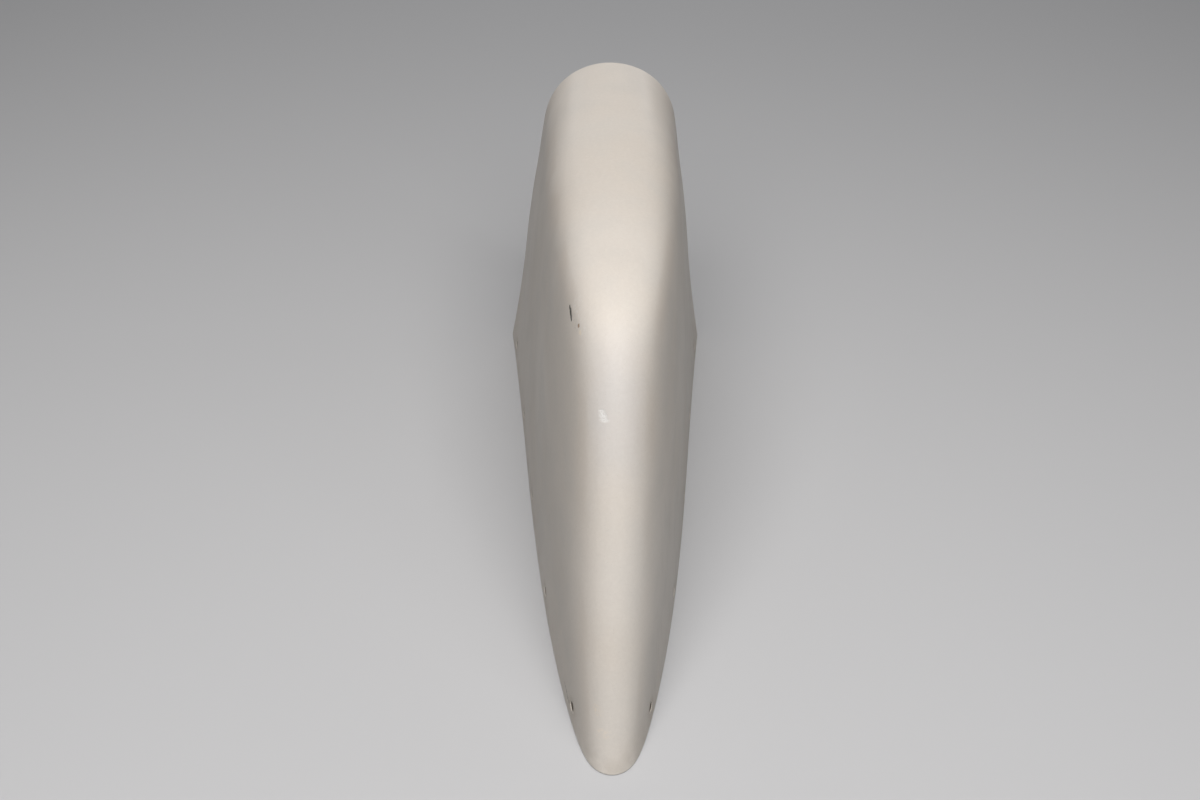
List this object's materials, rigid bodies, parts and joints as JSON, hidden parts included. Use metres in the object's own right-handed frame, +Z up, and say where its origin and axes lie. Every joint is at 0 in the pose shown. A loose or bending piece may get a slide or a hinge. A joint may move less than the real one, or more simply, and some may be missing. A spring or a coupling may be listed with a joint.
{
  "type": "vertical fin tip",
  "caption": "One-piece moulded plastic fin tip: a hollow cap with a swept leading edge, a rounded top, an open base and plain screw holes along both lower edges.",
  "frame": {"origin": "middle of the base rim's bounding rectangle, on the rim's underside", "axes": "+Y towards the wide aft end (nose at -Y), +X across, +Z up"},
  "size_m": [0.0884, 0.2397, 0.1361],
  "materials": {
    "shell": "satin, warm off-white, lightly scuffed"
  },
  "bodies": {
    "root": {"fin_tip_shell": "shell"}
  },
  "joints": []
}
